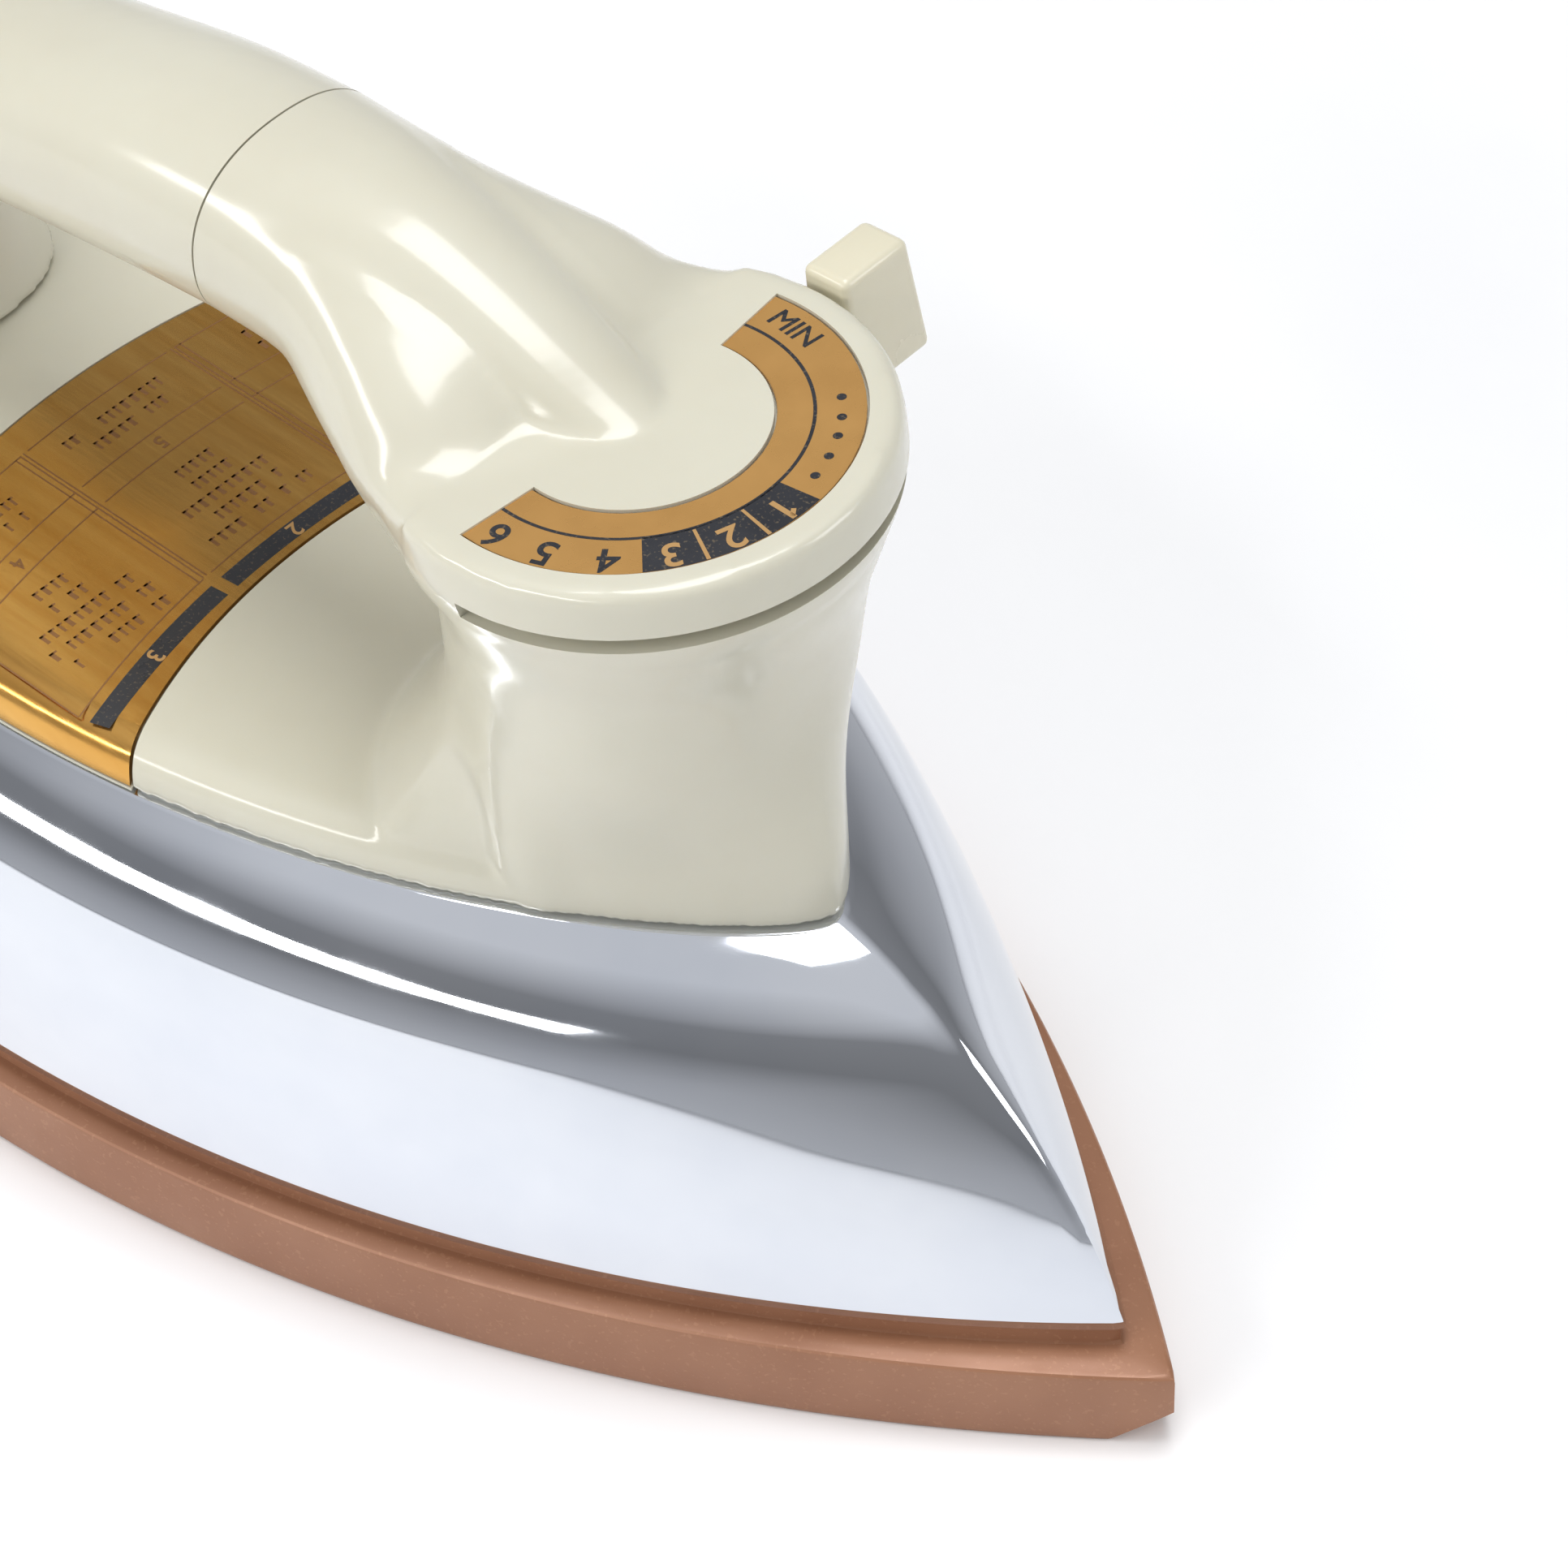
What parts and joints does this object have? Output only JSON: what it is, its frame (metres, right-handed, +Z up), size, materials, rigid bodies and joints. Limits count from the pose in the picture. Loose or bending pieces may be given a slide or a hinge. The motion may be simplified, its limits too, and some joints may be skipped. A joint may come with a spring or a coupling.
{
  "type": "clothes iron",
  "caption": "Heavy dry clothes iron: coated pointed soleplate, chrome shell, cream handle on two posts and a swinging temperature lever under a round dial.",
  "frame": {"origin": "bottom centre of the bounding box, on the surface that the sole rests on, under the middle of the iron's length", "axes": "+X towards the nose, +Y to the iron's left side (the lever points there at MIN), +Z up"},
  "size_m": [0.2379, 0.117, 0.1278],
  "materials": {
    "cream_plastic": "glossy moulded phenolic plastic",
    "lever_plastic": "glossy moulded plastic",
    "chrome_plate": "bright plated steel",
    "sole_coating": "copper coloured non-stick coating on cast aluminium",
    "gold_plate": "gold anodised, printed in black",
    "cast_iron": "as cast",
    "steel": "zinc plated",
    "brass": "rolled",
    "contact_silver": "silver contact metal",
    "ceramic": "steatite ceramic",
    "mica": "pressed mica",
    "bakelite": "brown phenolic",
    "lamp_glass": "tinted",
    "sleeving": "braided glass-fibre sleeving"
  },
  "bodies": {
    "iron": {"front_housing": "cream_plastic", "handle_body": "cream_plastic", "base_cover": "cream_plastic", "rear_cover": "cream_plastic", "cord_gland": "cream_plastic", "chrome_shell": "chrome_plate", "soleplate": "sole_coating", "dial_scale_plate": "gold_plate", "fabric_chart_plate": "gold_plate", "ballast_plate": "cast_iron", "heating_element": "steel", "element_terminal_left": "steel", "element_terminal_right": "steel", "ballast_bolt_front": "steel", "ballast_bolt_rear_left": "steel", "ballast_bolt_rear_right": "steel", "spacer_post_front": "steel", "spacer_post_rear": "steel", "shell_screw_front": "steel", "shell_screw_rear": "steel", "handle_screw_front": "steel", "handle_screw_rear": "steel", "rear_cover_screw_lower": "steel", "rear_cover_screw_upper": "steel", "thermostat_base": "steel", "bimetal_strip": "steel", "support_arm": "steel", "stack_screw": "steel", "fixed_contact_arm": "brass", "spindle_bush": "brass", "terminal_screw_live": "brass", "terminal_screw_earth": "brass", "terminal_screw_neutral": "brass", "fixed_contact": "contact_silver", "insulator_lower": "ceramic", "insulator_middle": "ceramic", "insulator_upper": "ceramic", "insulation_sheet": "mica", "terminal_block": "bakelite", "cord_clamp": "bakelite", "lamp_lens": "lamp_glass", "pilot_lamp": "lamp_glass", "live_lead": "sleeving", "element_lead": "sleeving", "neutral_lead": "sleeving", "earth_lead": "sleeving"},
    "temperature_control": {"temperature_lever": "lever_plastic", "control_spindle": "steel"},
    "adjusting_pin": {"adjusting_pin": "ceramic"},
    "moving_contact_blade": {"moving_contact_arm": "brass", "moving_contact": "contact_silver"}
  },
  "joints": [
    {"name": "lever_turn", "type": "hinge", "parent": "iron", "child": "temperature_control", "pos_m": [0.0425, 0, 0.1138], "axis": [-0.0872, 0, 0.9962], "range_deg": [-165, 0]},
    {"name": "pin_travel", "type": "slide", "parent": "iron", "child": "adjusting_pin", "axis": [-0.0872, 0, 0.9962], "range_m": [-0.0002463, 0]},
    {"name": "contact_flex", "type": "hinge", "parent": "iron", "child": "moving_contact_blade", "pos_m": [0.03838, 0, 0.02892], "axis": [0, 1, 0], "range_deg": [0, 1.23]}
  ],
  "couplings": [
    {"joint": "pin_travel", "follows": "lever_turn", "m_per_rad": 0.00008386},
    {"joint": "contact_flex", "follows": "lever_turn", "ratio": -0.0072922}
  ]
}
